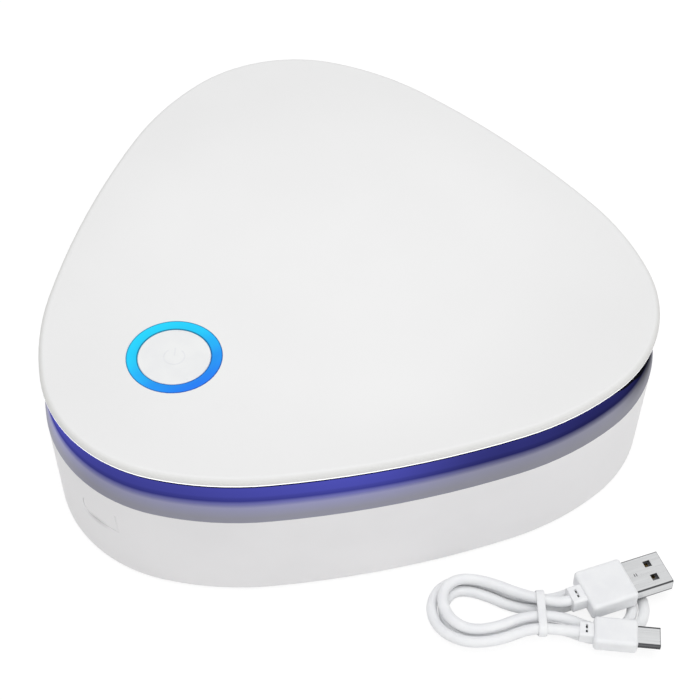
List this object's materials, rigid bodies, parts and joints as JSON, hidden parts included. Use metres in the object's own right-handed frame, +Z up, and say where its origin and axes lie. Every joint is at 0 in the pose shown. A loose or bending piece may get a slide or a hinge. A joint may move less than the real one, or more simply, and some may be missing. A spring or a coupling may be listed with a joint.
{
  "type": "uv sterilizer",
  "caption": "White rounded-triangle UV sterilizer box with a hinged lid, a blue glowing band, a lit power button on the lid and a tied USB charging cable lying beside it.",
  "frame": {"origin": "centre of the box around the case, at the table under its feet", "axes": "+Z up; -Y towards the front corner with the button and the charging port; +Y towards the lid hinge"},
  "size_m": [0.2504, 0.1928, 0.0572],
  "materials": {
    "white_case": "smooth white moulded plastic, satin",
    "lid_white": "smooth white moulded plastic, satin",
    "grey_bevel": "satin grey moulded plastic",
    "blue_band": "glossy tinted translucent plastic, lit from behind",
    "black_trim": "matt black plastic",
    "mirror_lining": "bright reflective lining",
    "window_glass": "clear round window",
    "board_green": "green circuit board",
    "board_white": "white circuit board",
    "lamp_white": "small lamp package",
    "battery_wrap": "foil pouch",
    "foam": "foam pad",
    "dark_parts": "small electronic parts",
    "steel": "plain steel",
    "plug_metal": "plated sheet metal",
    "contact_brass": "gold-coloured contact",
    "rubber_grey": "soft rubber",
    "seal_black": "soft black seal",
    "ring_glow": "translucent ring, lit from behind",
    "cap_white": "white button cap",
    "cable_white": "soft white cable plastic",
    "tongue_dark": "dark insulator in the plug"
  },
  "bodies": {
    "base": {"base_shell": "white_case", "bottom_cover": "white_case", "rubber_feet": "rubber_grey", "base_screws": "steel", "bevel_ring": "grey_bevel", "light_ring": "blue_band", "collar_ring": "black_trim", "glow_strip": "board_white", "glow_leds": "lamp_white", "chamber_tub": "mirror_lining", "floor_windows": "window_glass", "floor_leds": "lamp_white", "floor_led_board": "board_white", "battery_pad": "foam", "battery": "battery_wrap", "main_board": "board_green", "board_parts": "dark_parts", "board_screws": "steel", "usb_socket": "plug_metal", "hall_sensor": "dark_parts", "hinge_bracket": "white_case", "hinge_pin": "steel", "cover_pin": "steel", "cable_cord": "cable_white", "cable_tie": "cable_white", "usb_a_relief": "cable_white", "usb_a_body": "cable_white", "usb_a_shell": "plug_metal", "usb_a_tongue": "tongue_dark", "usb_a_contacts": "contact_brass", "micro_relief": "cable_white", "micro_body": "cable_white", "micro_shell": "plug_metal", "micro_tongue": "tongue_dark"},
    "lid": {"lid_shell": "lid_white", "lid_liner": "mirror_lining", "lid_gasket": "seal_black", "lid_led_board": "board_white", "lid_leds": "lamp_white", "lid_windows": "window_glass", "lid_screws": "steel", "lid_magnet": "steel", "hinge_arm": "lid_white", "button_light_ring": "ring_glow", "button_board": "board_green", "button_leds": "lamp_white", "tact_switch": "dark_parts"},
    "button": {"button_cap": "cap_white", "switch_plunger": "dark_parts"},
    "port_flap": {"port_cover": "white_case"}
  },
  "joints": [
    {"name": "lid_hinge", "type": "hinge", "parent": "base", "child": "lid", "pos_m": [0, 0.09479, 0.0475], "axis": [-1, 0, 0], "range_deg": [0, 100]},
    {"name": "button_press", "type": "slide", "parent": "lid", "child": "button", "axis": [0, 0, -1], "range_m": [0, 0.0007], "stiffness_N_per_m": 2800},
    {"name": "port_flap_hinge", "type": "hinge", "parent": "base", "child": "port_flap", "pos_m": [0.01276, -0.0934, 0.0224], "axis": [0, 0, 1], "range_deg": [0, 55]}
  ]
}
